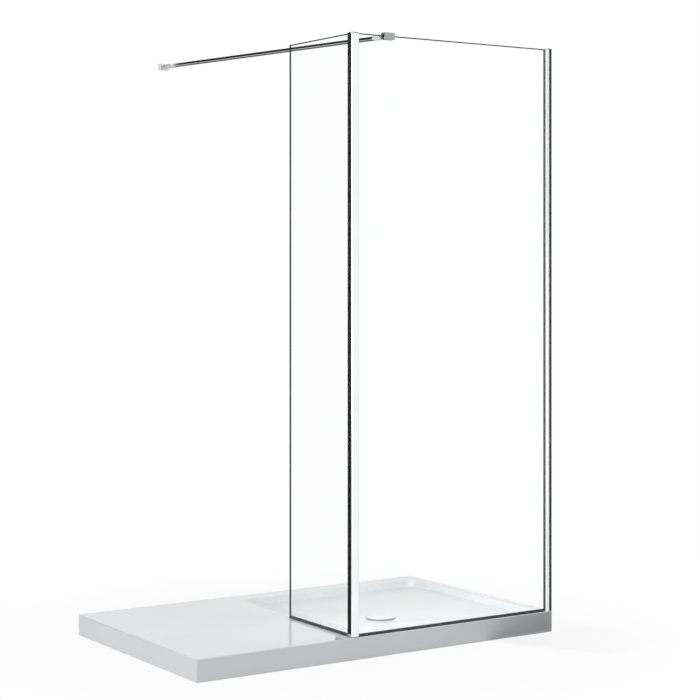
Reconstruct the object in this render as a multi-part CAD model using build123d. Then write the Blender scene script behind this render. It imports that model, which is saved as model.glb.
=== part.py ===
from build123d import *
import math
import os

# A walk-in shower screen on its low tray, in millimetres. X runs along the front, Y runs from the
# front to the back, Z is up. The origin is on the floor under the middle of the tray.

# Tray
tray_length = 1400.0
tray_depth = 850.0
tray_height = 72.0
tray_corner_radius = 4.0
tray_edge_radius = 2.5
tray_skin = 3.0
tray_skin_lift = 1.5
rim_front = 50.0
rim_back = 80.0
rim_side = 40.0
drying_length = 590.0
ramp_length = 110.0
recess_depth = 20.0
recess_slope = 12.0
recess_fall = 7.0
recess_mouth_radius = 45.0
recess_floor_radius = 34.0
recess_floor_thickness = 14.0
waste_pocket_margin = 14.0

# Waste in the recess floor
waste_x = 210.0
waste_y = -85.0
waste_hole_radius = 45.0
waste_flange_radius = 56.0
waste_flange_thickness = 3.0
waste_seat_margin = 6.0
waste_rebate_clearance = 0.3
waste_flange_bevel = 0.8
waste_skirt_bore = 36.0
waste_skirt_gap = 1.0
waste_thread_clearance = 0.05
waste_seal_thickness = 1.0
waste_washer_thickness = 2.0
waste_neck_radius = 44.5
waste_neck_bore = 40.0
waste_cup_depth = 28.0
waste_cup_floor = 3.0
waste_cup_wall = 3.0
waste_lip_thickness = 3.0
waste_tail_radius = 20.0
waste_tail_wall = 2.0
waste_tail_length = 10.0
waste_cover_radius = 52.0
waste_cover_shoulder = 44.0
waste_cover_thickness = 2.0
waste_cover_rise = 2.5
waste_cover_gap = 3.5
waste_fin_count = 4
waste_fin_thickness = 2.5
waste_fin_start = 37.5
waste_fin_end = 46.0
waste_ledge_drop = 7.5
waste_ledge_width = 2.0
dip_tube_radius = 24.0
dip_tube_wall = 1.8
dip_tube_collar_thickness = 2.0
dip_tube_floor_gap = 4.0
dip_tube_clearance = 0.3
dip_tube_spoke_count = 3
dip_tube_spoke_width = 4.0
dip_hub_radius = 7.0
dip_stem_radius = 4.0

# Glass
screen_height = 1950.0
front_width = 830.0
return_reach = 392.0
screen_setback = 5.0
glass_thickness = 8.0
glass_lift = 4.0
glass_arris = 0.8

# Corner profile and its ends
post_width = 26.0
post_wall = 1.8
post_corner_radius = 5.0
post_foot_thickness = 2.0
post_cap_thickness = 2.5
cap_bevel = 0.8
post_plug_length = 14.0
post_plug_clearance = 0.15
gasket_thickness = 1.6
gasket_lip = 2.4
gasket_tip = 0.4

# Wall profiles
channel_depth = 17.0
channel_wall = 2.0
channel_bevel = 0.8
channel_cap_thickness = 2.5
channel_cap_plug = 8.0
channel_cap_plug_thickness = 1.2
channel_floor_gap = 0.3
channel_slide_clearance = 0.15
channel_hole_radius = 2.75
channel_hole_spacing = 850.0
glazing_depth = 17.5
glazing_wall = 1.6
glazing_exposed = 7.5
lock_screw_inset = 3.5
lock_screw_radius = 1.6
lock_head_radius = 3.0
lock_head_height = 2.0
lock_screw_rows = 3
screw_row_margin = 150.0

# Seals under the panes
seal_wing = 1.2
seal_height = 8.0

# Bracing bar
bar_width = 30.0
bar_height = 10.0
bar_wall = 1.5
bar_corner = 1.2
bar_pin_spacing = 1178.0
bar_angle = 9.7
socket_wall = 1.5
socket_cup = 32.0
socket_end_wall = 5.0
socket_bevel = 0.8
socket_screw_depth = 19.0
socket_screw_radius = 1.8
fit_clearance = 0.05
root_bite = 1.0

# Swivel joints, alike at both ends of the bar
swivel_pin_radius = 2.5
swivel_pin_inset = 6.5
swivel_lug_radius = 6.8
swivel_lug_plate = 4.0
swivel_tongue_height = 6.0
swivel_tongue_radius = 6.0
swivel_gap = 0.15
swivel_socket_start = 9.5

# Glass clamp and wall bracket
block_bevel = 1.2
clamp_width = 41.0
clamp_centre = 146.5
clamp_above = 10.0
clamp_below = 13.0
clamp_front_jaw = 6.0
clamp_rear_jaw = 7.0
clamp_pad_thickness = 1.0
clamp_grub_radius = 2.5
clamp_grub_length = 5.0
clamp_grub_spacing = 22.0
bracket_width = 36.0
bracket_depth = 26.0
bracket_wall = 3.0
bracket_pocket_depth = 14.0
bracket_plate_thickness = 5.0
bracket_plate_clearance = 0.3
bracket_hole_radius = 2.25
bracket_hole_spacing = 20.0
bracket_set_screw_radius = 1.5

# Places that follow from the sizes
rim_z = tray_height
glass_bottom = rim_z + glass_lift
glass_top = rim_z + screen_height
wall_x = tray_length / 2
post_x = wall_x - front_width
post_y = -tray_depth / 2 + screen_setback
pocket_width = glass_thickness + 2 * gasket_thickness
leg_width = pocket_width + 2 * post_wall
front_glass_y = post_y + post_wall + gasket_thickness
front_glass_middle = front_glass_y + glass_thickness / 2
return_glass_x = post_x + post_wall + gasket_thickness
return_glass_middle = return_glass_x + glass_thickness / 2
glazing_x = wall_x - channel_depth - glazing_exposed
front_glass_end = glazing_x + glazing_depth - glazing_wall - gasket_thickness
glazing_width = pocket_width + 2 * glazing_wall
channel_width = glazing_width + 2 * (channel_slide_clearance + channel_wall)
recess_floor_z = rim_z - recess_depth
waste_seat_z = recess_floor_z - recess_fall
tray_underside_z = waste_seat_z - recess_floor_thickness
flange_low = waste_seat_z - waste_flange_thickness
seal_low = flange_low - waste_seal_thickness
washer_low = tray_underside_z - waste_washer_thickness
cup_low = seal_low - waste_cup_depth
ledge_z = flange_low - waste_ledge_drop
skirt_low = ledge_z + dip_tube_collar_thickness + waste_skirt_gap
cup_room_radius = waste_skirt_bore - waste_ledge_width
clamp_x = post_x + clamp_centre
clamp_slot_front = front_glass_y - clamp_pad_thickness
clamp_slot_back = front_glass_y + glass_thickness + clamp_pad_thickness
clamp_back_y = clamp_slot_back + clamp_rear_jaw
bar_z = glass_top + (clamp_above - clamp_below) / 2
block_height = clamp_above + clamp_below
pin_y = clamp_back_y + swivel_pin_inset
far_pin_x = clamp_x - bar_pin_spacing * math.sin(math.radians(bar_angle))
far_pin_y = pin_y + bar_pin_spacing * math.cos(math.radians(bar_angle))
bracket_front_y = far_pin_y + swivel_pin_inset
bracket_wall_y = bracket_front_y + bracket_depth


def rect(x0, x1, y0, y1):
    """A flat rectangle between two corners."""
    return Pos((x0 + x1) / 2, (y0 + y1) / 2) * Rectangle(x1 - x0, y1 - y0)


def block(x0, x1, y0, y1, z0, z1):
    """A solid block between two corners."""
    return extrude(Pos(0, 0, z0) * rect(x0, x1, y0, y1), z1 - z0)


def rod(x, y, z0, z1, radius):
    """A round solid standing between two heights."""
    return extrude(Pos(x, y, z0) * Circle(radius), z1 - z0)


def rod_along_y(x, y0, y1, z, radius):
    """A round solid lying along Y."""
    return Pos(x, y0, z) * Rot(-90, 0, 0) * extrude(Circle(radius), y1 - y0)


def rod_along_x(x0, x1, y, z, radius):
    """A round solid lying along X."""
    return Pos(x0, y, z) * Rot(0, 90, 0) * extrude(Circle(radius), x1 - x0)


def turned(points):
    """A ring turned about Z from its half section, given as radius and height."""
    section = Plane.XZ * make_face(Polyline(*points, close=True))
    return revolve(section, Axis.Z, 360)


def along_bar(shape):
    """Moves a shape drawn about the near pin, with the bar along +Y, to its place."""
    return Pos(clamp_x, pin_y, bar_z) * Rot(0, 0, bar_angle) * shape


def screw_heights(rows):
    """The heights of a row of screws spread over the glass."""
    low = glass_bottom + screw_row_margin
    high = glass_top - screw_row_margin
    return [low + (high - low) * row / (rows - 1) for row in range(rows)]


def recess_edges(left, inset, skin):
    """The left, right, front and back of the recess at one level, grown all round by a skin."""
    right = tray_length / 2 - rim_side - inset + skin
    front = rim_front - tray_depth / 2 + inset - skin
    back = tray_depth / 2 - rim_back - inset + skin
    return left - skin, right, front, back


def rounded_level(edges, radius, z):
    """A flat rectangle with rounded corners at a height."""
    level = rect(*edges)
    return Pos(0, 0, z) * fillet(level.vertices(), radius)


def corner_points(edges, z):
    """The four corners of a rectangle at a height."""
    left, right, front, back = edges
    return [(left, front, z), (right, front, z), (right, back, z), (left, back, z)]


def flat_sided(low, high):
    """A solid with flat faces between two rectangles, each given by its corners."""
    outlines = [low, high]
    for side in range(4):
        following = (side + 1) % 4
        outlines.append([low[side], low[following], high[following], high[side]])
    faces = [Face(Wire.make_polygon(outline, close=True)) for outline in outlines]
    return Solid(Shell(faces))


def recess(skin):
    """The room of the showering recess: sloped walls, a long ramp at the left, falls to the waste.
    With a skin it is the room that the recess and the skin under it take up together."""
    left = drying_length - tray_length / 2
    mouth_edges = recess_edges(left, 0, skin)
    floor_edges = recess_edges(left + ramp_length, recess_slope, skin)
    floor_z = recess_floor_z - skin
    seat_z = waste_seat_z - skin
    mouth = rounded_level(mouth_edges, recess_mouth_radius + skin, rim_z - skin)
    foot = rounded_level(floor_edges, recess_floor_radius + skin, floor_z)
    reach = waste_flange_radius + waste_seat_margin + skin
    seat_edges = (waste_x - reach, waste_x + reach, waste_y - reach, waste_y + reach)
    falls = flat_sided(corner_points(seat_edges, seat_z), corner_points(floor_edges, floor_z))
    falls = falls & extrude(foot, recess_depth, dir=(0, 0, -1))
    rebate_radius = waste_flange_radius + waste_rebate_clearance + skin
    rebate = rod(waste_x, waste_y, seal_low - skin, seat_z, rebate_radius)
    return loft([foot, mouth], ruled=True) + falls + rebate


def tray_core():
    """The cast filling of the tray: flat underneath, with a pocket round the waste."""
    half_x = tray_length / 2 - tray_skin
    half_y = tray_depth / 2 - tray_skin
    core = block(-half_x, half_x, -half_y, half_y, 0, rim_z - tray_skin)
    core = core - recess(tray_skin)
    core = core - rod(waste_x, waste_y, 0, waste_seat_z, waste_hole_radius)
    pocket_radius = waste_flange_radius + waste_pocket_margin
    return core - rod(waste_x, waste_y, 0, tray_underside_z, pocket_radius)


def tray_shell():
    """The gloss skin of the tray: top, recess and skirts, open underneath and bonded to the core."""
    half_x = tray_length / 2
    half_y = tray_depth / 2
    shell = block(-half_x, half_x, -half_y, half_y, tray_skin_lift, rim_z)
    shell = fillet(shell.edges().filter_by(Axis.Z), tray_corner_radius)
    shell = fillet(shell.faces().sort_by(Axis.Z)[-1].edges(), tray_edge_radius)
    shell = shell - recess(0)
    shell = shell - rod(waste_x, waste_y, 0, waste_seat_z, waste_hole_radius)
    pocket_radius = waste_flange_radius + waste_pocket_margin
    shell = shell - rod(waste_x, waste_y, 0, tray_underside_z, pocket_radius)
    return shell - tray_core()


def waste_flange():
    """The bright ring in the tray's rebate, flush with the floor; its skirt screws into the cup."""
    ring = turned([
        (waste_skirt_bore, skirt_low),
        (waste_neck_bore - waste_thread_clearance, skirt_low),
        (waste_neck_bore - waste_thread_clearance, flange_low),
        (waste_flange_radius, flange_low),
        (waste_flange_radius, waste_seat_z - waste_flange_bevel),
        (waste_flange_radius - waste_flange_bevel, waste_seat_z),
        (waste_skirt_bore, waste_seat_z),
    ])
    return Pos(waste_x, waste_y, 0) * ring


def waste_upper_seal():
    """The flat rubber ring under the flange."""
    outer = rod(waste_x, waste_y, seal_low, flange_low, waste_flange_radius)
    return outer - rod(waste_x, waste_y, seal_low, flange_low, waste_hole_radius)


def waste_lower_washer():
    """The rubber washer between the cup's lip and the underside of the tray."""
    outer = rod(waste_x, waste_y, washer_low, tray_underside_z, waste_flange_radius)
    return outer - rod(waste_x, waste_y, washer_low, tray_underside_z, waste_hole_radius)


def waste_cup():
    """The cup drawn up against the tray by the flange: clamping lip, neck, ledge and open tail."""
    floor_z = cup_low + waste_cup_floor
    tail_low = cup_low - waste_tail_length
    tail_bore = waste_tail_radius - waste_tail_wall
    cup = turned([
        (tail_bore, tail_low),
        (waste_tail_radius, tail_low),
        (waste_tail_radius, cup_low),
        (cup_room_radius + waste_cup_wall, cup_low),
        (cup_room_radius + waste_cup_wall, washer_low - waste_lip_thickness),
        (waste_flange_radius, washer_low - waste_lip_thickness),
        (waste_flange_radius, washer_low),
        (waste_neck_radius, washer_low),
        (waste_neck_radius, seal_low),
        (waste_neck_bore, seal_low),
        (waste_neck_bore, ledge_z),
        (cup_room_radius, ledge_z),
        (cup_room_radius, floor_z),
        (tail_bore, floor_z),
    ])
    return Pos(waste_x, waste_y, 0) * cup


def waste_dip_tube():
    """The lift-out tube: a collar on the cup's ledge, spokes and a hub for the cover's stem."""
    top = ledge_z + dip_tube_collar_thickness
    low = cup_low + waste_cup_floor + dip_tube_floor_gap
    bore = dip_tube_radius - dip_tube_wall
    tube = turned([
        (bore, low),
        (dip_tube_radius, low),
        (dip_tube_radius, ledge_z),
        (waste_skirt_bore - dip_tube_clearance, ledge_z),
        (waste_skirt_bore - dip_tube_clearance, top),
        (bore, top),
    ])
    hub = rod(0, 0, ledge_z, top, dip_hub_radius)
    step = 360 / dip_tube_spoke_count
    half = dip_tube_spoke_width / 2
    for index in range(dip_tube_spoke_count):
        spoke = block(dip_hub_radius - root_bite, bore + dip_tube_wall / 2, -half, half, ledge_z, top)
        hub = hub + Rot(0, 0, step * index) * spoke
    hub = hub - rod(0, 0, ledge_z, top, dip_stem_radius + fit_clearance)
    return Pos(waste_x, waste_y, 0) * (tube + hub)


def waste_cover():
    """The bevelled cover on its fins, with the stem that carries the dip tube."""
    rim_low = waste_seat_z + waste_cover_gap
    rim_top = rim_low + waste_cover_thickness
    crown = rim_top + waste_cover_rise
    dome = turned([
        (0, ledge_z),
        (dip_stem_radius, ledge_z),
        (dip_stem_radius, rim_low),
        (waste_cover_radius, rim_low),
        (waste_cover_radius, rim_top),
        (waste_cover_shoulder, crown),
        (0, crown),
    ])
    half = waste_fin_thickness / 2
    fins = []
    for index in range(waste_fin_count):
        fin = block(waste_fin_start, waste_fin_end, -half, half, waste_seat_z, rim_low)
        fins.append(Rot(0, 0, 360 / waste_fin_count * (index + 0.5)) * fin)
    return Pos(waste_x, waste_y, 0) * (dome + fins)


def front_glass():
    """The long fixed pane, from the corner profile to the wall."""
    start = post_x + leg_width + gasket_thickness
    pane = block(start, front_glass_end, front_glass_y, front_glass_y + glass_thickness,
                 glass_bottom, glass_top)
    return chamfer(pane.edges().filter_by(Axis.Z), glass_arris)


def return_glass():
    """The short fixed pane that runs back into the tray."""
    start = post_y + leg_width + gasket_thickness
    end = post_y + return_reach
    pane = block(return_glass_x, return_glass_x + glass_thickness, start, end, glass_bottom, glass_top)
    return chamfer(pane.edges().filter_by(Axis.Z), glass_arris)


def post_outline():
    """The L outline of the corner profile, rounded on its outer edge."""
    outline = rect(0, post_width, 0, leg_width) + rect(0, leg_width, 0, post_width)
    outer_corner = outline.vertices().sort_by(lambda v: v.X + v.Y)[0]
    return fillet(outer_corner, post_corner_radius)


def post_chamber(clearance):
    """The hollow in the corner of the profile, less a clearance on every side."""
    low = post_wall + clearance
    high = post_wall + pocket_width - clearance
    chamber = rect(low, high, low, high)
    outer_corner = chamber.vertices().sort_by(lambda v: v.X + v.Y)[0]
    return chamfer(outer_corner, post_corner_radius - post_wall)


def corner_post():
    """The extruded corner profile: two pockets at a right angle about a hollow chamber."""
    low = post_wall
    high = post_wall + pocket_width
    section = post_outline() - post_chamber(0)
    section = section - rect(leg_width, post_width, low, high)
    section = section - rect(low, high, leg_width, post_width)
    bottom = rim_z + post_foot_thickness
    return extrude(Pos(post_x, post_y, bottom) * section, glass_top - bottom)


def post_plug(z0, z1):
    """The push-in leg of a post cap: a short tube that fills the chamber."""
    outer = post_chamber(post_plug_clearance)
    hollow = post_chamber(post_plug_clearance + post_wall)
    return extrude(Pos(post_x, post_y, z0) * (outer - hollow), z1 - z0)


def post_top_cap():
    """The cap over the top of the corner profile."""
    plate = extrude(Pos(post_x, post_y, glass_top) * post_outline(), post_cap_thickness)
    plate = chamfer(plate.faces().sort_by(Axis.Z)[-1].edges(), cap_bevel)
    return plate + post_plug(glass_top - post_plug_length, glass_top)


def post_foot():
    """The foot plate under the corner profile, standing on the tray's rim."""
    plate = extrude(Pos(post_x, post_y, rim_z) * post_outline(), post_foot_thickness)
    top = rim_z + post_foot_thickness
    return plate + post_plug(top, top + post_plug_length)


def glass_gasket_section(depth, lip):
    """A U gasket round a pane's edge: the pane points along +X, its middle on the X axis."""
    half_out = pocket_width / 2
    half_in = glass_thickness / 2
    outline = make_face(Polyline(
        (0, -half_out),
        (depth, -half_out),
        (depth + lip, -half_in - gasket_tip),
        (depth + lip, half_in + gasket_tip),
        (depth, half_out),
        (0, half_out),
        close=True,
    ))
    return outline - rect(gasket_thickness, depth + lip, -half_in, half_in)


def post_front_gasket():
    """The gasket of the long pane in the corner profile."""
    section = glass_gasket_section(post_width - leg_width, gasket_lip)
    placed = Pos(post_x + leg_width, front_glass_middle, glass_bottom) * section
    return extrude(placed, glass_top - glass_bottom)


def post_return_gasket():
    """The gasket of the short pane in the corner profile."""
    section = Rot(0, 0, 90) * glass_gasket_section(post_width - leg_width, gasket_lip)
    placed = Pos(return_glass_middle, post_y + leg_width, glass_bottom) * section
    return extrude(placed, glass_top - glass_bottom)


def wall_glazing_profile():
    """The inner wall profile, which grips the long pane and slides in the wall channel."""
    half = glazing_width / 2
    outer = rect(0, glazing_depth, -half, half)
    pocket = rect(0, glazing_depth - glazing_wall, -pocket_width / 2, pocket_width / 2)
    placed = Pos(glazing_x, front_glass_middle, rim_z) * (outer - pocket)
    return extrude(placed, glass_top - channel_floor_gap - rim_z)


def wall_glazing_gasket():
    """The gasket of the long pane in the inner wall profile."""
    section = Rot(0, 0, 180) * glass_gasket_section(glazing_depth - glazing_wall, gasket_lip)
    placed = Pos(glazing_x + glazing_depth - glazing_wall, front_glass_middle, glass_bottom) * section
    return extrude(placed, glass_top - channel_floor_gap - glass_bottom)


def wall_screw_heights():
    """Heights of the holes for the wall screws."""
    middle = (rim_z + glass_top) / 2
    return [middle - channel_hole_spacing, middle, middle + channel_hole_spacing]


def lock_screw(z):
    """A screw through the channel's inner flange that presses on the inner profile."""
    flange_y = front_glass_middle + channel_width / 2
    middle = wall_x - channel_depth + lock_screw_inset
    tip = flange_y - channel_wall - channel_slide_clearance + fit_clearance
    shank = rod_along_y(middle, tip, flange_y, z, lock_screw_radius)
    head = rod_along_y(middle, flange_y, flange_y + lock_head_height, z, lock_head_radius)
    return shank + head


def wall_lock_screws():
    """The screws that fix the adjustment at the wall."""
    return Compound(children=[lock_screw(z) for z in screw_heights(lock_screw_rows)])


def wall_channel():
    """The outer wall channel, with holes to the wall and for the lock screws."""
    half = channel_width / 2
    outer = rect(-channel_depth, 0, -half, half)
    outer = chamfer(outer.vertices().group_by(Axis.X)[0], channel_bevel)
    room = rect(-channel_depth, -channel_wall, channel_wall - half, half - channel_wall)
    bottom = rim_z + channel_floor_gap
    channel = extrude(Pos(wall_x, front_glass_middle, bottom) * (outer - room), glass_top - bottom)
    start = wall_x - channel_wall
    holes = [rod_along_x(start, wall_x, front_glass_middle, z, channel_hole_radius)
             for z in wall_screw_heights()]
    flange_y = front_glass_middle + half
    middle = wall_x - channel_depth + lock_screw_inset
    holes = holes + [rod_along_y(middle, flange_y - channel_wall, flange_y, z, lock_screw_radius)
                     for z in screw_heights(lock_screw_rows)]
    return channel - holes


def wall_channel_cap():
    """The cap on the wall channel, with a leg behind the inner profile."""
    half = channel_width / 2
    plate = rect(-channel_depth, 0, -half, half)
    cap = extrude(Pos(wall_x, front_glass_middle, glass_top) * plate, channel_cap_thickness)
    cap = chamfer(cap.faces().sort_by(Axis.Z)[-1].edges(), cap_bevel)
    right = wall_x - channel_wall - post_plug_clearance
    left = right - channel_cap_plug_thickness
    reach = half - channel_wall - 2 * post_plug_clearance
    leg = block(left, right, front_glass_middle - reach, front_glass_middle + reach,
                glass_top - channel_cap_plug, glass_top)
    return cap + leg


def bottom_seal_section():
    """The seal under a pane: a solid foot with a wing up each side of the glass."""
    half_in = glass_thickness / 2
    half_out = half_in + seal_wing
    section = rect(-half_out, half_out, 0, seal_height)
    return section - rect(-half_in, half_in, glass_lift, seal_height)


def front_bottom_seal():
    """The strip that closes the gap between the long pane and the tray's rim."""
    start = post_x + post_width + gasket_lip
    end = glazing_x - gasket_lip
    plane = Plane(origin=(start, front_glass_middle, rim_z), x_dir=(0, 1, 0), z_dir=(1, 0, 0))
    return extrude(plane * bottom_seal_section(), end - start)


def return_bottom_seal():
    """The same strip under the short pane."""
    start = post_y + post_width + gasket_lip
    end = post_y + return_reach
    corner = (return_glass_middle, start, rim_z)
    plane = Plane(origin=corner, x_dir=(-1, 0, 0), z_dir=(0, 1, 0))
    return extrude(plane * bottom_seal_section(), end - start)


def swivel_lug(x, y, direction):
    """The fork behind a block that holds the pin; direction is +1 or -1 along Y."""
    height = swivel_tongue_height / 2 + swivel_gap + swivel_lug_plate
    inset = direction * (swivel_pin_inset + root_bite)
    root = rect(x - swivel_lug_radius, x + swivel_lug_radius, min(y, y - inset), max(y, y - inset))
    plan = root + Pos(x, y) * Circle(swivel_lug_radius)
    lug = extrude(Pos(0, 0, bar_z - height) * plan, 2 * height)
    slot_half = swivel_tongue_height / 2 + swivel_gap
    reach = direction * swivel_pin_inset
    low = min(y - reach, y + direction * 2 * swivel_lug_radius)
    high = max(y - reach, y + direction * 2 * swivel_lug_radius)
    side = 2 * swivel_lug_radius
    slot = block(x - side, x + side, low, high, bar_z - slot_half, bar_z + slot_half)
    bore = rod(x, y, bar_z - height, bar_z + height, swivel_pin_radius)
    return lug - slot - bore


def swivel_pin(x, y):
    """The upright pin of one swivel joint, its ends flush with the fork."""
    height = swivel_tongue_height / 2 + swivel_gap + swivel_lug_plate
    return rod(x, y, bar_z - height, bar_z + height, swivel_pin_radius)


def clamp_grub_rods(length):
    """Two rods through the rear jaw of the glass clamp, from the pad backwards."""
    places = [clamp_x - clamp_grub_spacing / 2, clamp_x + clamp_grub_spacing / 2]
    z = glass_top - clamp_below / 2
    end = clamp_slot_back + length
    return [rod_along_y(x, clamp_slot_back, end, z, clamp_grub_radius) for x in places]


def glass_clamp_body():
    """The block that sits over the top edge of the long pane and carries the bar's swivel."""
    front = clamp_slot_front - clamp_front_jaw
    low = glass_top - clamp_below
    high = glass_top + clamp_above
    left = clamp_x - clamp_width / 2
    right = clamp_x + clamp_width / 2
    body = block(left, right, front, clamp_back_y, low, high)
    body = chamfer(body.edges(), block_bevel)
    slot_top = glass_top + clamp_pad_thickness
    body = body - block(left, right, clamp_slot_front, clamp_slot_back, low, slot_top)
    body = body + swivel_lug(clamp_x, pin_y, 1)
    return body - clamp_grub_rods(clamp_rear_jaw)


def glass_clamp_pad():
    """The folded rubber pad between the clamp and the glass."""
    half = clamp_width / 2 - block_bevel
    low = glass_top - clamp_below + block_bevel
    outer = block(clamp_x - half, clamp_x + half, clamp_slot_front, clamp_slot_back, low,
                  glass_top + clamp_pad_thickness)
    inner = block(clamp_x - half, clamp_x + half, front_glass_y, front_glass_y + glass_thickness, low,
                  glass_top)
    return outer - inner


def glass_clamp_screws():
    """The two screws that press the rear pad onto the glass."""
    return Compound(children=clamp_grub_rods(clamp_grub_length))


def swivel_tongue(start, end):
    """The flat tongue of a socket, from round its pin to the socket's end wall."""
    plan = Circle(swivel_tongue_radius) + rect(-swivel_tongue_radius, swivel_tongue_radius, start, end)
    tongue = extrude(Pos(0, 0, -swivel_tongue_height / 2) * plan, swivel_tongue_height)
    bore = rod(0, 0, -swivel_tongue_height, swivel_tongue_height, swivel_pin_radius + fit_clearance)
    return tongue - bore


def bar_plan():
    """The bar's cross section, drawn in the plane across the bar."""
    section = Rectangle(bar_width, bar_height)
    return chamfer(section.vertices(), bar_corner)


def across_bar(section, start, length):
    """Extrudes a cross section along +Y from a distance along the bar."""
    plane = Plane(origin=(0, start, 0), x_dir=(1, 0, 0), z_dir=(0, 1, 0))
    return extrude(plane * section, length)


def socket_screw():
    """The screw that holds the bar in a socket, from below, drawn at its place from the pin."""
    place = swivel_socket_start + socket_end_wall + socket_screw_depth
    return rod(0, place, -bar_height / 2 - socket_wall, -bar_height / 2 + bar_wall, socket_screw_radius)


def bar_socket():
    """A socket for one end of the bar, drawn about its pin with the bar along +Y."""
    outer = Rectangle(bar_width + 2 * socket_wall, bar_height + 2 * socket_wall)
    outer = chamfer(outer.vertices(), bar_corner + socket_wall / 2)
    sleeve = across_bar(outer, swivel_socket_start, socket_end_wall + socket_cup)
    ends = sleeve.faces().sort_by(Axis.Y)
    sleeve = chamfer(ends[0].edges() + ends[-1].edges(), socket_bevel)
    room = across_bar(bar_plan(), swivel_socket_start + socket_end_wall, socket_cup)
    tongue = swivel_tongue(0, swivel_socket_start + root_bite)
    return sleeve - room + tongue - socket_screw()


def bar_socket_glass_end():
    """The socket that swivels on the glass clamp."""
    return along_bar(bar_socket())


def bar_socket_wall_end():
    """The socket that swivels on the wall bracket."""
    return along_bar(Pos(0, bar_pin_spacing, 0) * Rot(0, 0, 180) * bar_socket())


def bar_socket_screws():
    """The two socket screws."""
    near = along_bar(socket_screw())
    far = along_bar(Pos(0, bar_pin_spacing, 0) * Rot(0, 0, 180) * socket_screw())
    return Compound(children=[near, far])


def support_bar():
    """The flat tube between the two sockets."""
    inset = swivel_socket_start + socket_end_wall
    length = bar_pin_spacing - 2 * inset
    outer = across_bar(bar_plan(), inset, length)
    hollow = Rectangle(bar_width - 2 * bar_wall, bar_height - 2 * bar_wall)
    tube = outer - across_bar(hollow, inset, length)
    far_screw = Pos(0, bar_pin_spacing, 0) * Rot(0, 0, 180) * socket_screw()
    return along_bar(tube - socket_screw() - far_screw)


def glass_clamp_swivel_pin():
    """The pin at the glass end."""
    return swivel_pin(clamp_x, pin_y)


def wall_bracket_swivel_pin():
    """The pin at the wall end."""
    return swivel_pin(far_pin_x, far_pin_y)


def bracket_set_screw_rod(z0, z1):
    """The set screw under the wall bracket, between two heights."""
    y = bracket_wall_y - bracket_plate_thickness / 2
    return rod(far_pin_x, y, z0, z1, bracket_set_screw_radius)


def wall_bracket_body():
    """The block that hides the wall plate and carries the far swivel."""
    low = bar_z - block_height / 2
    left = far_pin_x - bracket_width / 2
    right = far_pin_x + bracket_width / 2
    body = block(left, right, bracket_front_y, bracket_wall_y, low, low + block_height)
    wall_face = body.faces().sort_by(Axis.Y)[-1]
    body = chamfer(body.edges() - wall_face.edges(), block_bevel)
    half_width = bracket_width / 2 - bracket_wall
    half_height = block_height / 2 - bracket_wall
    body = body - block(far_pin_x - half_width, far_pin_x + half_width,
                        bracket_wall_y - bracket_pocket_depth, bracket_wall_y,
                        bar_z - half_height, bar_z + half_height)
    body = body + swivel_lug(far_pin_x, far_pin_y, -1)
    return body - bracket_set_screw_rod(low, low + bracket_wall)


def wall_bracket_plate():
    """The plate screwed to the wall, inside the bracket block."""
    half_width = bracket_width / 2 - bracket_wall - bracket_plate_clearance
    half_height = block_height / 2 - bracket_wall - bracket_plate_clearance
    plate = block(far_pin_x - half_width, far_pin_x + half_width,
                  bracket_wall_y - bracket_plate_thickness, bracket_wall_y,
                  bar_z - half_height, bar_z + half_height)
    places = [far_pin_x - bracket_hole_spacing / 2, far_pin_x + bracket_hole_spacing / 2]
    start = bracket_wall_y - bracket_plate_thickness
    holes = [rod_along_y(x, start, bracket_wall_y, bar_z, bracket_hole_radius) for x in places]
    return plate - holes


def wall_bracket_set_screw():
    """The screw from below that locks the block on its plate."""
    low = bar_z - block_height / 2
    return bracket_set_screw_rod(low, low + bracket_wall + bracket_plate_clearance)


PARTS = [
    tray_shell,
    tray_core,
    waste_flange,
    waste_upper_seal,
    waste_lower_washer,
    waste_cup,
    waste_dip_tube,
    waste_cover,
    front_glass,
    return_glass,
    corner_post,
    post_top_cap,
    post_foot,
    post_front_gasket,
    post_return_gasket,
    wall_glazing_profile,
    wall_glazing_gasket,
    wall_channel,
    wall_channel_cap,
    wall_lock_screws,
    front_bottom_seal,
    return_bottom_seal,
    glass_clamp_body,
    glass_clamp_pad,
    glass_clamp_screws,
    glass_clamp_swivel_pin,
    bar_socket_glass_end,
    bar_socket_wall_end,
    bar_socket_screws,
    support_bar,
    wall_bracket_body,
    wall_bracket_plate,
    wall_bracket_set_screw,
    wall_bracket_swivel_pin,
]


def write_parts():
    """Writes each piece to its own file, named after the piece."""
    os.makedirs("parts", exist_ok=True)
    for make in PARTS:
        export_step(make(), "parts/" + make.__name__ + ".step")


write_parts()
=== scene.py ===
import math

import bmesh
import bpy
from mathutils import Matrix, Vector


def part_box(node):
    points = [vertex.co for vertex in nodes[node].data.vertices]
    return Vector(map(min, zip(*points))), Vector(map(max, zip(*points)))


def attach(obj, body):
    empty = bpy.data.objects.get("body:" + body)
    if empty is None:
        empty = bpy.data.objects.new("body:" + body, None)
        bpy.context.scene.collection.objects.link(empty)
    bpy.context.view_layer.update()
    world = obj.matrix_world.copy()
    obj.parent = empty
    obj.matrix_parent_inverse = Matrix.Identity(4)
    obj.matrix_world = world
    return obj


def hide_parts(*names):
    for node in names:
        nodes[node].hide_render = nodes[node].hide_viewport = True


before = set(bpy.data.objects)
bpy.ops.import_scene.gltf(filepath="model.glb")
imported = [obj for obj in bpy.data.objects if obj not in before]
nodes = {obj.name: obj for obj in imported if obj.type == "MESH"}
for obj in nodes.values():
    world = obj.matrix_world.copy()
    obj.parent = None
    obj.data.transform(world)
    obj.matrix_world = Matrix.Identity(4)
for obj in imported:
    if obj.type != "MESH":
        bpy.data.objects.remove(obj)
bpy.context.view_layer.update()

WHITE = (1.0, 1.0, 1.0, 1.0)
DIM_WORLD = 0.284
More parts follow.
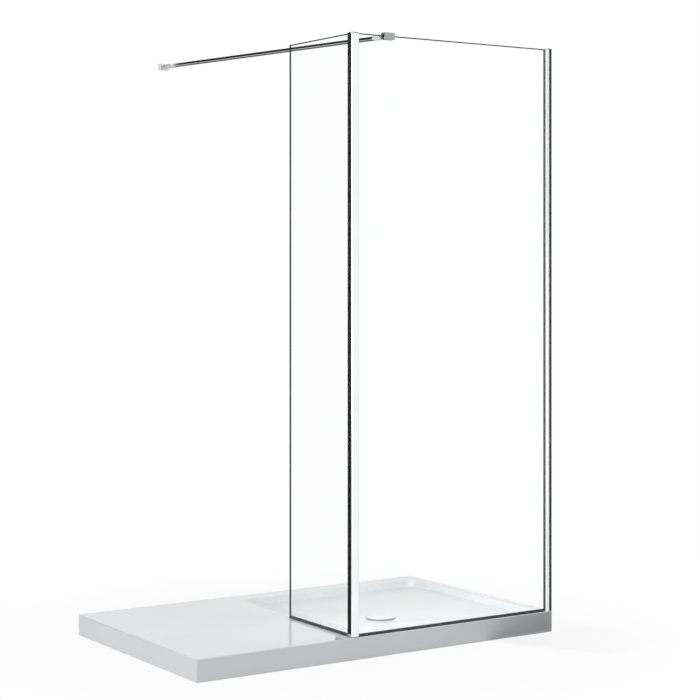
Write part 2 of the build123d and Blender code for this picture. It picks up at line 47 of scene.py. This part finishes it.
TOP_WATTS = 90.234
LEFT_WATTS = 52.734
FRONT_WATTS = 5.0


# Materials

def new_material(name):
    """A material with an empty tree but for its output and its Principled shader."""
    material = bpy.data.materials.new(name)
    material.use_nodes = True
    tree = material.node_tree
    tree.nodes.clear()
    output = tree.nodes.new("ShaderNodeOutputMaterial")
    shader = tree.nodes.new("ShaderNodeBsdfPrincipled")
    tree.links.new(shader.outputs["BSDF"], output.inputs["Surface"])
    return material, tree, shader


def mix_shaders(tree, factor, first, second):
    """Puts a mix of two shaders on the tree's output."""
    mixed = tree.nodes.new("ShaderNodeMixShader")
    tree.links.new(factor, mixed.inputs["Fac"])
    tree.links.new(first, mixed.inputs[1])
    tree.links.new(second, mixed.inputs[2])
    output = [node for node in tree.nodes if node.type.startswith("OUTPUT_")][0]
    tree.links.new(mixed.outputs["Shader"], output.inputs["Surface"])


def object_axes(tree):
    """The X, Y and Z of the object's own coordinates."""
    position = tree.nodes.new("ShaderNodeTexCoord")
    axes = tree.nodes.new("ShaderNodeSeparateXYZ")
    tree.links.new(position.outputs["Object"], axes.inputs["Vector"])
    return axes.outputs


def object_coordinates(tree, scale):
    """The object's own coordinates, stretched by a scale on each axis."""
    source = tree.nodes.new("ShaderNodeTexCoord")
    mapping = tree.nodes.new("ShaderNodeMapping")
    mapping.inputs["Scale"].default_value = scale
    tree.links.new(source.outputs["Object"], mapping.inputs["Vector"])
    return mapping.outputs["Vector"]


def noise(tree, scale, detail=3.0, stretch=(1.0, 1.0, 1.0)):
    """A noise texture in metres, with its waves per metre."""
    texture = tree.nodes.new("ShaderNodeTexNoise")
    texture.inputs["Scale"].default_value = scale
    texture.inputs["Detail"].default_value = detail
    tree.links.new(object_coordinates(tree, stretch), texture.inputs["Vector"])
    return texture.outputs["Fac"]


def span(tree, value, from_low, from_high, low, high):
    """Maps one range of a value to another."""
    ranged = tree.nodes.new("ShaderNodeMapRange")
    ranged.inputs["From Min"].default_value = from_low
    ranged.inputs["From Max"].default_value = from_high
    ranged.inputs["To Min"].default_value = low
    ranged.inputs["To Max"].default_value = high
    tree.links.new(value, ranged.inputs["Value"])
    return ranged.outputs["Result"]


def spread(tree, value, low, high):
    """Maps the middle of a noise value to a range."""
    return span(tree, value, 0.3, 0.7, low, high)


def shades(tree, value, first, second):
    """Maps a noise value between two colours."""
    ramp = tree.nodes.new("ShaderNodeValToRGB")
    ramp.color_ramp.elements[0].position = 0.3
    ramp.color_ramp.elements[1].position = 0.7
    ramp.color_ramp.elements[0].color = first
    ramp.color_ramp.elements[1].color = second
    tree.links.new(value, ramp.inputs["Fac"])
    return ramp.outputs["Color"]


def bump(tree, shader, height, strength, distance):
    """Puts a height on the shader's normal."""
    node = tree.nodes.new("ShaderNodeBump")
    node.inputs["Strength"].default_value = strength
    node.inputs["Distance"].default_value = distance
    tree.links.new(height, node.inputs["Height"])
    tree.links.new(node.outputs["Normal"], shader.inputs["Normal"])


def acrylic():
    """Gloss white sanitary acrylic: faint clouding, uneven gloss, a slight orange peel."""
    material, tree, shader = new_material("tray_acrylic")
    cloud = noise(tree, 2.6, 2.0)
    tree.links.new(shades(tree, cloud, (0.775, 0.785, 0.80, 1.0), (0.82, 0.83, 0.845, 1.0)),
                   shader.inputs["Base Color"])
    tree.links.new(spread(tree, noise(tree, 6.0, 2.0), 0.16, 0.24), shader.inputs["Roughness"])
    shader.inputs["Coat Weight"].default_value = 0.3
    shader.inputs["Coat Roughness"].default_value = 0.08
    bump(tree, shader, noise(tree, 420.0, 1.0), 0.03, 0.0002)
    return material


def filling():
    """Cast resin with fine sand in it."""
    material, tree, shader = new_material("cast_filling")
    tree.links.new(shades(tree, noise(tree, 800.0, 4.0), (0.5, 0.49, 0.46, 1.0), (0.66, 0.65, 0.62, 1.0)),
                   shader.inputs["Base Color"])
    tree.links.new(spread(tree, noise(tree, 90.0, 3.0), 0.7, 0.9), shader.inputs["Roughness"])
    bump(tree, shader, noise(tree, 500.0, 4.0), 0.4, 0.0005)
    return material


def metal(name, first, second, rough, grain, stretch, strength):
    """A bright metal whose tone, gloss and grain vary over the surface."""
    material, tree, shader = new_material(name)
    shader.inputs["Metallic"].default_value = 1.0
    lines = noise(tree, grain, 4.0, stretch)
    tree.links.new(shades(tree, noise(tree, 9.0, 3.0), first, second), shader.inputs["Base Color"])
    tree.links.new(spread(tree, lines, rough[0], rough[1]), shader.inputs["Roughness"])
    bump(tree, shader, lines, strength, 0.0002)
    return material


def plastic(name, first, second, rough, grain):
    """A moulded plastic or rubber with a fine grain."""
    material, tree, shader = new_material(name)
    tree.links.new(shades(tree, noise(tree, 60.0, 4.0), first, second), shader.inputs["Base Color"])
    tree.links.new(spread(tree, noise(tree, 140.0, 3.0), rough[0], rough[1]), shader.inputs["Roughness"])
    bump(tree, shader, noise(tree, grain, 2.0), 0.25, 0.0002)
    return material


def beyond(tree, coordinate, limit):
    """1 where a coordinate is above a limit, else 0."""
    compare = tree.nodes.new("ShaderNodeMath")
    compare.operation = "GREATER_THAN"
    compare.inputs[1].default_value = limit
    tree.links.new(coordinate, compare.inputs[0])
    return compare.outputs["Value"]


def either(tree, values):
    """The largest of several masks."""
    result = values[0]
    for value in values[1:]:
        largest = tree.nodes.new("ShaderNodeMath")
        largest.operation = "MAXIMUM"
        tree.links.new(result, largest.inputs[0])
        tree.links.new(value, largest.inputs[1])
        result = largest.outputs["Value"]
    return result


def glass(name, edges):
    """Clear toughened glass. Its ground edges, given as (axis, limit), are darker and duller."""
    material, tree, shader = new_material(name)
    shader.inputs["IOR"].default_value = 1.12
    axes = object_axes(tree)
    edge = either(tree, [beyond(tree, axes[axis], limit) for axis, limit in edges])
    tree.links.new(shades(tree, edge, (0.992, 0.998, 0.995, 1.0), (0.035, 0.045, 0.043, 1.0)),
                   shader.inputs["Base Color"])
    tree.links.new(span(tree, edge, 0.0, 1.0, 0.0, 0.3), shader.inputs["Roughness"])
    tree.links.new(span(tree, edge, 0.0, 1.0, 1.0, 0.25), shader.inputs["Transmission Weight"])
    path = tree.nodes.new("ShaderNodeLightPath")
    clear = tree.nodes.new("ShaderNodeBsdfTransparent")
    clear.inputs["Color"].default_value = (0.975, 0.985, 0.98, 1.0)
    mix_shaders(tree, path.outputs["Is Shadow Ray"], shader.outputs["BSDF"], clear.outputs["BSDF"])
    return material


def seal_plastic(level):
    """A sealing strip that is dark below a height and clear above it."""
    material, tree, shader = new_material("sealing_strip")
    shader.inputs["IOR"].default_value = 1.2
    wing = beyond(tree, object_axes(tree)["Z"], level)
    tree.links.new(shades(tree, wing, (0.05, 0.052, 0.052, 1.0), (0.9, 0.92, 0.91, 1.0)),
                   shader.inputs["Base Color"])
    tree.links.new(spread(tree, noise(tree, 90.0, 3.0), 0.25, 0.4), shader.inputs["Roughness"])
    tree.links.new(span(tree, wing, 0.0, 1.0, 0.05, 0.9), shader.inputs["Transmission Weight"])
    return material


def dress(material, names):
    """Gives a material to CAD nodes."""
    for name in names:
        for slot in nodes[name].material_slots:
            slot.material = material


ALONG_Z = (1.0, 1.0, 0.01)
EVEN = (1.0, 1.0, 1.0)

tray_material = acrylic()
chrome = metal("polished_chrome", (0.74, 0.75, 0.76, 1.0), (0.8, 0.81, 0.82, 1.0), (0.05, 0.1),
               300.0, EVEN, 0.03)
satin_chrome = metal("satin_chrome", (0.36, 0.37, 0.38, 1.0), (0.44, 0.45, 0.46, 1.0), (0.24, 0.34),
                     500.0, EVEN, 0.06)
bright_bracket = metal("bracket_chrome", (0.72, 0.73, 0.74, 1.0), (0.8, 0.81, 0.82, 1.0),
                       (0.34, 0.44), 500.0, EVEN, 0.06)
aluminium = metal("polished_aluminium", (0.9, 0.91, 0.92, 1.0), (0.94, 0.95, 0.96, 1.0),
                  (0.1, 0.18), 900.0, ALONG_Z, 0.05)
steel = metal("screw_steel", (0.5, 0.5, 0.5, 1.0), (0.6, 0.6, 0.6, 1.0), (0.25, 0.4),
              1400.0, EVEN, 0.12)
rubber = plastic("gasket_rubber", (0.05, 0.05, 0.05, 1.0), (0.08, 0.08, 0.08, 1.0), (0.6, 0.8), 900.0)
grey_plastic = plastic("cap_plastic", (0.1, 0.1, 0.105, 1.0), (0.15, 0.15, 0.155, 1.0),
                       (0.35, 0.5), 1200.0)
white_plastic = plastic("waste_plastic", (0.7, 0.7, 0.69, 1.0), (0.78, 0.78, 0.77, 1.0),
                        (0.4, 0.55), 1000.0)
gasket_grey = plastic("gasket_grey", (0.25, 0.26, 0.26, 1.0), (0.34, 0.35, 0.35, 1.0),
                      (0.45, 0.6), 900.0)

DARK_BAND_HEIGHT = 0.0025
GROUND_EDGE = 0.0028
# The seals are dark in their lowest 2.5 mm, where they stand on the tray, and clear above.
strip = seal_plastic(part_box("front_bottom_seal")[0].z + DARK_BAND_HEIGHT)
front_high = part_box("front_glass")[1]
front_glass = glass("front_pane_glass", [("Z", front_high.z - GROUND_EDGE)])
return_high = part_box("return_glass")[1]
return_glass = glass("return_pane_glass",
                     [("Z", return_high.z - GROUND_EDGE), ("Y", return_high.y - GROUND_EDGE)])

dress(steel, nodes)
dress(tray_material, ["tray_shell", "waste_flange", "waste_cover"])
dress(filling(), ["tray_core"])
dress(front_glass, ["front_glass"])
dress(return_glass, ["return_glass"])
dress(aluminium, ["corner_post", "wall_glazing_profile", "wall_channel"])
dress(grey_plastic, ["post_top_cap", "post_foot", "wall_channel_cap"])
dress(gasket_grey, ["post_front_gasket", "post_return_gasket", "wall_glazing_gasket"])
dress(strip, ["front_bottom_seal", "return_bottom_seal"])
dress(chrome, ["support_bar"])
dress(satin_chrome, ["glass_clamp_body"])
dress(bright_bracket, ["wall_bracket_body", "bar_socket_glass_end", "bar_socket_wall_end"])
dress(rubber, ["glass_clamp_pad", "waste_upper_seal", "waste_lower_washer"])
dress(white_plastic, ["waste_cup", "waste_dip_tube"])

# Screws with hexagon recesses

TURNS = 48
LOCK_RADIUS = 0.0016
LOCK_HEAD_RADIUS = 0.003
LOCK_HEAD_HEIGHT = 0.002
SOCKET_SCREW_RADIUS = 0.0018


def circle(radius):
    """Points round a circle."""
    angles = [2 * math.pi * step / TURNS for step in range(TURNS)]
    return [(radius * math.cos(angle), radius * math.sin(angle)) for angle in angles]


def hexagon(radius):
    """Points at the same angles round a hexagon, given its corner radius."""
    points = []
    for step in range(TURNS):
        angle = 2 * math.pi * step / TURNS
        reach = radius * math.cos(math.pi / 6) / math.cos(angle % (math.pi / 3) - math.pi / 6)
        points.append((reach * math.cos(angle), reach * math.sin(angle)))
    return points


def add_screw(builder, place, radius, length, head_radius, head_height):
    """One screw along its own Z from its tip, with a bevelled end and a hexagon recess."""
    bevel = 0.14 * head_radius
    key = 0.55 * head_radius
    top = length + head_height
    rows = [(circle(0.8 * radius), 0.0), (circle(radius), 0.2 * radius)]
    if head_height > 0.0:
        rows = rows + [(circle(radius), length), (circle(head_radius), length)]
    rows = rows + [(circle(head_radius), top - bevel), (circle(head_radius - bevel), top),
                   (hexagon(key), top), (hexagon(key), top - 0.9 * key)]
    rings = [[builder.verts.new(place @ Vector((x, y, height))) for x, y in outline]
             for outline, height in rows]
    builder.faces.new(rings[0][::-1])
    for first, second in zip(rings, rings[1:]):
        for step in range(TURNS):
            following = (step + 1) % TURNS
            builder.faces.new((first[step], first[following], second[following], second[step]))
    builder.faces.new(rings[-1])


def screws(node, body, places, radius, length, head_radius, head_height):
    """Takes the place of a node of plain screws."""
    mesh = bpy.data.meshes.new(node + "_detail")
    builder = bmesh.new()
    for place in places:
        add_screw(builder, place, radius, length, head_radius, head_height)
    bmesh.ops.recalc_face_normals(builder, faces=builder.faces)
    builder.to_mesh(mesh)
    builder.free()
    mesh.shade_smooth()
    mesh.set_sharp_from_angle(angle=math.radians(28.0))
    piece = bpy.data.objects.new(node + "_detail", mesh)
    bpy.context.scene.collection.objects.link(piece)
    mesh.materials.append(steel)
    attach(piece, body)
    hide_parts(node)


TO_BACK = Matrix.Rotation(-math.pi / 2, 4, "X")
DOWN = Matrix.Rotation(math.pi, 4, "X")


def make_screws():
    """The lock, clamp, socket and set screws, at the places of the nodes they stand for."""
    low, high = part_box("wall_lock_screws")
    heights = [low.z + LOCK_HEAD_RADIUS, (low.z + high.z) / 2, high.z - LOCK_HEAD_RADIUS]
    places = [Matrix.Translation(((low.x + high.x) / 2, low.y, z)) @ TO_BACK for z in heights]
    screws("wall_lock_screws", "wall_channel_set", places, LOCK_RADIUS,
           high.y - low.y - LOCK_HEAD_HEIGHT, LOCK_HEAD_RADIUS, LOCK_HEAD_HEIGHT)
    low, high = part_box("glass_clamp_screws")
    radius = (high.z - low.z) / 2
    places = [Matrix.Translation((x, low.y, low.z + radius)) @ TO_BACK
              for x in (low.x + radius, high.x - radius)]
    screws("glass_clamp_screws", "screen", places, radius, high.y - low.y, radius, 0.0)
    low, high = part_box("bar_socket_screws")
    radius = SOCKET_SCREW_RADIUS
    ends = [(high.x - radius, low.y + radius), (low.x + radius, high.y - radius)]
    places = [Matrix.Translation((x, y, high.z)) @ DOWN for x, y in ends]
    screws("bar_socket_screws", "brace", places, radius, high.z - low.z, radius, 0.0)
    low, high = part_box("wall_bracket_set_screw")
    radius = (high.x - low.x) / 2
    places = [Matrix.Translation((low.x + radius, low.y + radius, high.z)) @ DOWN]
    screws("wall_bracket_set_screw", "wall_bracket", places, radius, high.z - low.z, radius, 0.0)


make_screws()


# Floor, world and lights

def panel(name, corners, material):
    """A flat four-cornered stage piece."""
    mesh = bpy.data.meshes.new(name)
    builder = bmesh.new()
    builder.faces.new([builder.verts.new(corner) for corner in corners])
    builder.to_mesh(mesh)
    builder.free()
    piece = bpy.data.objects.new(name, mesh)
    bpy.context.scene.collection.objects.link(piece)
    mesh.materials.append(material)
    return piece


def seen_ray(tree):
    """1 for camera, glossy and transmitted rays."""
    path = tree.nodes.new("ShaderNodeLightPath")
    return either(tree, [path.outputs["Is Camera Ray"], path.outputs["Is Glossy Ray"],
                         path.outputs["Is Transmission Ray"]])


def make_floor():
    """A pale floor that is seen near white and keeps the object's soft shadow."""
    material, tree, shader = new_material("pale_floor")
    shader.inputs["Base Color"].default_value = (0.8, 0.8, 0.8, 1.0)
    shader.inputs["Roughness"].default_value = 0.9
    glow = tree.nodes.new("ShaderNodeEmission")
    glow.inputs["Color"].default_value = WHITE
    place = tree.nodes.new("ShaderNodeTexCoord")
    length = tree.nodes.new("ShaderNodeVectorMath")
    length.operation = "LENGTH"
    tree.links.new(place.outputs["Object"], length.inputs[0])
    white = span(tree, length.outputs["Value"], 0.75, 1.3, 0.9, 1.0)
    share = tree.nodes.new("ShaderNodeMath")
    share.operation = "MULTIPLY"
    tree.links.new(seen_ray(tree), share.inputs[0])
    tree.links.new(white, share.inputs[1])
    mix_shaders(tree, share.outputs["Value"], shader.outputs["BSDF"], glow.outputs["Emission"])
    reach = 40.0
    corners = [(-reach, -reach, 0.0), (reach, -reach, 0.0), (reach, reach, 0.0), (-reach, reach, 0.0)]
    panel("floor", corners, material)


def make_world():
    """White to the camera, in gloss and through glass, dim to the object."""
    world = bpy.data.worlds.new("studio")
    bpy.context.scene.world = world
    world.use_nodes = True
    tree = world.node_tree
    tree.nodes.clear()
    tree.nodes.new("ShaderNodeOutputWorld")
    seen = tree.nodes.new("ShaderNodeBackground")
    seen.inputs["Color"].default_value = WHITE
    seen.inputs["Strength"].default_value = 1.0
    dim = tree.nodes.new("ShaderNodeBackground")
    dim.inputs["Color"].default_value = WHITE
    dim.inputs["Strength"].default_value = DIM_WORLD
    mix_shaders(tree, seen_ray(tree), dim.outputs["Background"], seen.outputs["Background"])


def card(name, first, second, low, high, tone, glossy):
    """An upright studio card over a line on the floor. It is seen in gloss, or else it shades."""
    material, tree, shader = new_material(name)
    shader.inputs["Base Color"].default_value = (tone, tone, tone, 1.0)
    shader.inputs["Roughness"].default_value = 1.0
    shader.inputs["Specular IOR Level"].default_value = 0.0
    piece = panel(name, [(*first, low), (*second, low), (*second, high), (*first, high)], material)
    show(piece, glossy)


def show(piece, glossy):
    """Keeps a card from the camera, and from all but gloss or all but shade."""
    piece.visible_camera = False
    piece.visible_transmission = False
    piece.visible_glossy = glossy
    piece.visible_diffuse = not glossy
    piece.visible_shadow = not glossy


def make_cards():
    """Cards that give the bright metal its dark sides, and flags that shade the tray's front right."""
    card("card_left", (-0.9, 0.15), (-0.9, 1.36), 0.0, 3.4, 0.05, True)
    card("card_post", (-0.15, -0.4), (-0.15, -0.352), 0.074, 2.04, 0.035, True)
    card("card_back", (0.5, 2.6), (2.6, 2.6), 1.3, 1.98, 0.14, True)
    low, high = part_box("wall_channel")
    front = low.y - 0.025
    card("card_edge", (high.x + 0.009, front), (high.x + 0.045, front), 0.05, high.z + 0.02, 0.1, True)
    card("flag_right", (0.725, -0.44), (1.05, -1.0), 0.0, 0.6, 0.0, False)
    floor_flag = panel("flag_low", [(0.42, -0.431, 0.003), (0.9, -0.431, 0.003), (0.9, -0.8, 0.003),
                                    (0.62, -0.8, 0.003)], bpy.data.materials["flag_right"])
    show(floor_flag, False)


def lamp(name, place, target, size, energy):
    """A soft square lamp aimed at a point."""
    data = bpy.data.lights.new(name, "AREA")
    data.shape = "SQUARE"
    data.size = size
    data.energy = energy
    light = bpy.data.objects.new(name, data)
    light.location = place
    light.rotation_euler = (Vector(target) - Vector(place)).to_track_quat("-Z", "Y").to_euler()
    bpy.context.scene.collection.objects.link(light)


def make_camera():
    """The photograph's view: a level camera with a small downward shift."""
    data = bpy.data.cameras.new("camera")
    data.lens = 91.68
    data.sensor_width = 36.0
    data.shift_y = -0.1183
    camera = bpy.data.objects.new("camera", data)
    camera.location = (-3.2954, -5.2087, 1.2659)
    camera.rotation_euler = (math.radians(90.0), 0.0, math.radians(-33.4))
    bpy.context.scene.collection.objects.link(camera)
    bpy.context.scene.camera = camera


make_floor()
make_world()
make_cards()
lamp("lamp_top", (-0.4, -0.9, 4.6), (0.0, 0.0, 0.0), 3.5, TOP_WATTS)
lamp("lamp_left", (-4.5, 0.2, 1.6), (0.0, 0.0, 0.2), 2.5, LEFT_WATTS)
lamp("lamp_front", (-0.7, -2.4, 0.7), (-0.1, -0.42, 0.05), 1.2, FRONT_WATTS)
make_camera()
bpy.context.scene.view_settings.view_transform = "Standard"
